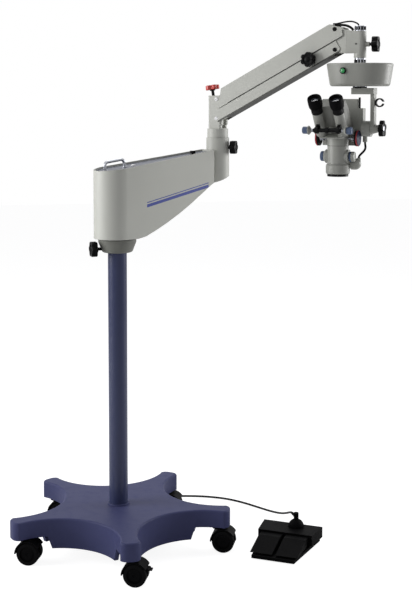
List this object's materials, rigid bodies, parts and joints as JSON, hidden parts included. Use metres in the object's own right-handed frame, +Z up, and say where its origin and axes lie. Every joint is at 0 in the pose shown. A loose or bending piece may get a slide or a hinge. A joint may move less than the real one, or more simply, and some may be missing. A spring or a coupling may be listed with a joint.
{
  "type": "surgical microscope",
  "caption": "Surgical microscope on a wheeled floor stand, with a jointed spring arm, a lamp housing, an inclined binocular head and a cabled footswitch.",
  "frame": {"origin": "centre of the bounding box on the floor, without the footswitch cable", "axes": "+Z up, -Y along the front leg"},
  "size_m": [1.2031, 0.7991, 1.6939],
  "materials": {
    "base_paint": "painted, satin",
    "column_blue": "painted, gloss",
    "caster_black": "moulded, satin",
    "cover_grey": "painted, fine texture",
    "casting_grey": "painted, fine texture",
    "head_grey": "painted, semi-gloss",
    "panel_blue": "painted, satin",
    "knob_black": "moulded, satin",
    "knob_red": "moulded, gloss",
    "button_green": "moulded, gloss",
    "steel": "brushed",
    "chrome": "polished",
    "bronze": "turned",
    "navy": "anodised",
    "black_ring": "anodised",
    "glass": "polished",
    "cable_black": "extruded, satin",
    "switch_black": "moulded, fine texture"
  },
  "bodies": {
    "root": {"base_casting": "base_paint", "column_tube": "column_blue", "footswitch_base": "switch_black", "foot_cable": "cable_black"},
    "arm1": {"collar_cup": "casting_grey", "column_bushes": "bronze", "arm1_casting": "casting_grey", "arm1_cover": "cover_grey", "arm1_top_panel": "panel_blue", "carry_handle": "steel", "power_unit": "steel"},
    "collar_knob": {"collar_knob": "knob_black"},
    "brightness_dial": {"brightness_dial": "knob_black"},
    "turret_knob": {"turret_knob": "knob_black"},
    "turret": {"turret_yoke": "casting_grey", "yoke_pins": "steel"},
    "balance_knob": {"balance_knob": "knob_red"},
    "upper_link": {"upper_link": "cover_grey", "spring_cartridge": "steel"},
    "lower_link": {"lower_link": "cover_grey"},
    "arm_knob": {"arm_knob": "knob_black"},
    "head_block": {"head_block": "casting_grey", "elbow_pins": "steel", "elbow_cables": "cable_black"},
    "head_knob": {"head_knob": "knob_black"},
    "hanger": {"spindle": "chrome", "lamp_housing": "head_grey", "lamp_floor": "head_grey", "hanger_bracket": "head_grey", "cable_hook": "knob_black"},
    "power_button": {"power_button": "button_green"},
    "tilt_knob": {"tilt_knob": "knob_black"},
    "tilt": {"tilt_carrier": "head_grey", "focus_box": "head_grey"},
    "focus": {"focus_drive": "steel", "scope_body": "head_grey", "objective_ring": "black_ring", "objective_lens": "glass", "binocular_head": "head_grey", "light_guide": "head_grey", "light_cable": "cable_black"},
    "mag_knobs": {"mag_knobs": "navy"},
    "filter_knobs": {"filter_knobs": "navy"},
    "pd_shaft": {"pd_shaft": "black_ring"},
    "eyepiece_left": {"eyepiece_left": "head_grey"},
    "eyepiece_right": {"eyepiece_right": "head_grey"},
    "pedal_left": {"pedal_left": "switch_black"},
    "pedal_right": {"pedal_right": "switch_black"},
    "brake_lever": {"brake_lever": "caster_black"},
    "swivel_1": {"caster_hood_1": "caster_black"},
    "wheels_1": {"caster_wheels_1": "caster_black"},
    "swivel_2": {"caster_hood_2": "caster_black"},
    "wheels_2": {"caster_wheels_2": "caster_black"},
    "swivel_3": {"caster_hood_3": "caster_black"},
    "wheels_3": {"caster_wheels_3": "caster_black"},
    "swivel_4": {"caster_hood_4": "caster_black"},
    "wheels_4": {"caster_wheels_4": "caster_black"},
    "swivel_5": {"caster_hood_5": "caster_black"},
    "wheels_5": {"caster_wheels_5": "caster_black"}
  },
  "joints": [
    {"name": "caster_swivel_1", "type": "hinge", "parent": "root", "child": "swivel_1", "pos_m": [-0.2517, -0.2917, 0.1], "axis": [0, 0, 1], "continuous": true},
    {"name": "caster_wheels_1_roll", "type": "hinge", "parent": "swivel_1", "child": "wheels_1", "pos_m": [-0.23291, -0.29854, 0.036], "axis": [0.342, 0.9397, 0], "continuous": true},
    {"name": "caster_swivel_2", "type": "hinge", "parent": "root", "child": "swivel_2", "pos_m": [0.05739, -0.06713, 0.1], "axis": [0, 0, 1], "continuous": true},
    {"name": "caster_wheels_2_roll", "type": "hinge", "parent": "swivel_2", "child": "wheels_2", "pos_m": [0.07619, -0.07397, 0.036], "axis": [0.342, 0.9397, 0], "continuous": true},
    {"name": "caster_swivel_3", "type": "hinge", "parent": "root", "child": "swivel_3", "pos_m": [-0.06067, 0.29623, 0.1], "axis": [0, 0, 1], "continuous": true},
    {"name": "caster_wheels_3_roll", "type": "hinge", "parent": "swivel_3", "child": "wheels_3", "pos_m": [-0.04188, 0.28939, 0.036], "axis": [0.342, 0.9397, 0], "continuous": true},
    {"name": "caster_swivel_4", "type": "hinge", "parent": "root", "child": "swivel_4", "pos_m": [-0.44273, 0.29623, 0.1], "axis": [0, 0, 1], "continuous": true},
    {"name": "caster_wheels_4_roll", "type": "hinge", "parent": "swivel_4", "child": "wheels_4", "pos_m": [-0.42394, 0.28939, 0.036], "axis": [0.342, 0.9397, 0], "continuous": true},
    {"name": "caster_swivel_5", "type": "hinge", "parent": "root", "child": "swivel_5", "pos_m": [-0.56079, -0.06713, 0.1], "axis": [0, 0, 1], "continuous": true},
    {"name": "caster_wheels_5_roll", "type": "hinge", "parent": "swivel_5", "child": "wheels_5", "pos_m": [-0.542, -0.07397, 0.036], "axis": [0.342, 0.9397, 0], "continuous": true},
    {"name": "brake_lever_press", "type": "hinge", "parent": "swivel_1", "child": "brake_lever", "pos_m": [-0.19746, -0.31144, 0.05048], "axis": [0.342, 0.9397, 0], "range_deg": [0, 15]},
    {"name": "arm1_yaw", "type": "hinge", "parent": "root", "child": "arm1", "pos_m": [-0.2517, 0.0333, 1.005], "axis": [0, 0, 1], "range_deg": [-170, 170]},
    {"name": "collar_knob_turn", "type": "hinge", "parent": "arm1", "child": "collar_knob", "pos_m": [-0.2517, 0.0333, 0.9715], "axis": [-0.9848, -0.1736, 0], "range_deg": [0, 360]},
    {"name": "brightness_dial_turn", "type": "hinge", "parent": "arm1", "child": "brightness_dial", "pos_m": [0.01294, 0.1567, 1.26996], "axis": [0, 0, 1], "range_deg": [-135, 135]},
    {"name": "turret_yaw", "type": "hinge", "parent": "arm1", "child": "turret", "pos_m": [0.10539, 0.19981, 1.317], "axis": [0, 0, 1], "range_deg": [-70, 200]},
    {"name": "turret_knob_turn", "type": "hinge", "parent": "arm1", "child": "turret_knob", "pos_m": [0.10539, 0.19981, 1.285], "axis": [0.891, -0.454, 0], "range_deg": [0, 360]},
    {"name": "balance_knob_turn", "type": "hinge", "parent": "turret", "child": "balance_knob", "pos_m": [0.09236, 0.21074, 1.458], "axis": [-0.1198, 0.1005, 0.9877], "range_deg": [-720, 720]},
    {"name": "arm_pitch", "type": "hinge", "parent": "turret", "child": "upper_link", "pos_m": [0.1119, 0.19435, 1.4464], "axis": [-0.6428, -0.766, 0], "range_deg": [-50, 8]},
    {"name": "lower_link_pitch", "type": "hinge", "parent": "turret", "child": "lower_link", "pos_m": [0.1119, 0.19435, 1.382], "axis": [-0.6428, -0.766, 0], "range_deg": [-50, 8]},
    {"name": "head_level", "type": "hinge", "parent": "upper_link", "child": "head_block", "pos_m": [0.44166, -0.08236, 1.66764], "axis": [-0.6428, -0.766, 0], "range_deg": [-8, 50], "deforming": ["elbow_cables"]},
    {"name": "arm_knob_turn", "type": "hinge", "parent": "lower_link", "child": "arm_knob", "pos_m": [0.37682, -0.02795, 1.57323], "axis": [-0.6428, -0.766, 0], "range_deg": [0, 360]},
    {"name": "head_knob_turn", "type": "hinge", "parent": "head_block", "child": "head_knob", "pos_m": [0.49911, -0.13057, 1.61994], "axis": [0.866, -0.5, 0], "range_deg": [0, 360]},
    {"name": "hanger_yaw", "type": "hinge", "parent": "head_block", "child": "hanger", "pos_m": [0.49911, -0.13057, 1.60324], "axis": [0, 0, 1], "range_deg": [-150, 150]},
    {"name": "power_button_press", "type": "slide", "parent": "hanger", "child": "power_button", "axis": [0.6691, 0.7431, 0], "range_m": [0, 0.002], "stiffness_N_per_m": 1500, "springref_m": -0.001},
    {"name": "tilt", "type": "hinge", "parent": "hanger", "child": "tilt", "pos_m": [0.49911, -0.13057, 1.35524], "axis": [0.829, -0.5592, 0], "range_deg": [-12, 45]},
    {"name": "tilt_knob_turn", "type": "hinge", "parent": "hanger", "child": "tilt_knob", "pos_m": [0.55383, -0.16747, 1.35524], "axis": [0.829, -0.5592, 0], "range_deg": [0, 360]},
    {"name": "focus_slide", "type": "slide", "parent": "tilt", "child": "focus", "axis": [0, 0, 1], "range_m": [-0.0125, 0.0125], "deforming": ["light_cable"]},
    {"name": "mag_knobs_turn", "type": "hinge", "parent": "focus", "child": "mag_knobs", "pos_m": [0.43487, -0.11136, 1.32524], "axis": [0.829, -0.5592, 0], "continuous": true},
    {"name": "filter_knobs_turn", "type": "hinge", "parent": "focus", "child": "filter_knobs", "pos_m": [0.43487, -0.11136, 1.26724], "axis": [0.829, -0.5592, 0], "range_deg": [-90, 90]},
    {"name": "pd_shaft_turn", "type": "hinge", "parent": "focus", "child": "pd_shaft", "pos_m": [0.37504, -0.20007, 1.35224], "axis": [0.829, -0.5592, 0], "range_deg": [-180, 180]},
    {"name": "eyepiece_left_slide", "type": "slide", "parent": "focus", "child": "eyepiece_left", "axis": [0.829, -0.5592, 0], "range_m": [-0.005, 0.005]},
    {"name": "eyepiece_right_slide", "type": "slide", "parent": "focus", "child": "eyepiece_right", "axis": [0.829, -0.5592, 0], "range_m": [-0.005, 0.005]},
    {"name": "pedal_left_press", "type": "hinge", "parent": "root", "child": "pedal_left", "pos_m": [0.23516, -0.07761, 0.03], "axis": [0.8572, -0.515, 0], "range_deg": [0, 2.2], "stiffness_Nm_per_rad": 45, "springref_deg": -1.72},
    {"name": "pedal_right_press", "type": "hinge", "parent": "root", "child": "pedal_right", "pos_m": [0.30202, -0.11778, 0.03], "axis": [0.8572, -0.515, 0], "range_deg": [0, 2.2], "stiffness_Nm_per_rad": 45, "springref_deg": -1.72}
  ],
  "couplings": [
    {"joint": "lower_link_pitch", "follows": "arm_pitch", "ratio": 1},
    {"joint": "head_level", "follows": "arm_pitch", "ratio": -1},
    {"joint": "pd_shaft_turn", "follows": "eyepiece_left_slide", "rad_per_m": -625},
    {"joint": "eyepiece_right_slide", "follows": "eyepiece_left_slide", "ratio": -1}
  ]
}
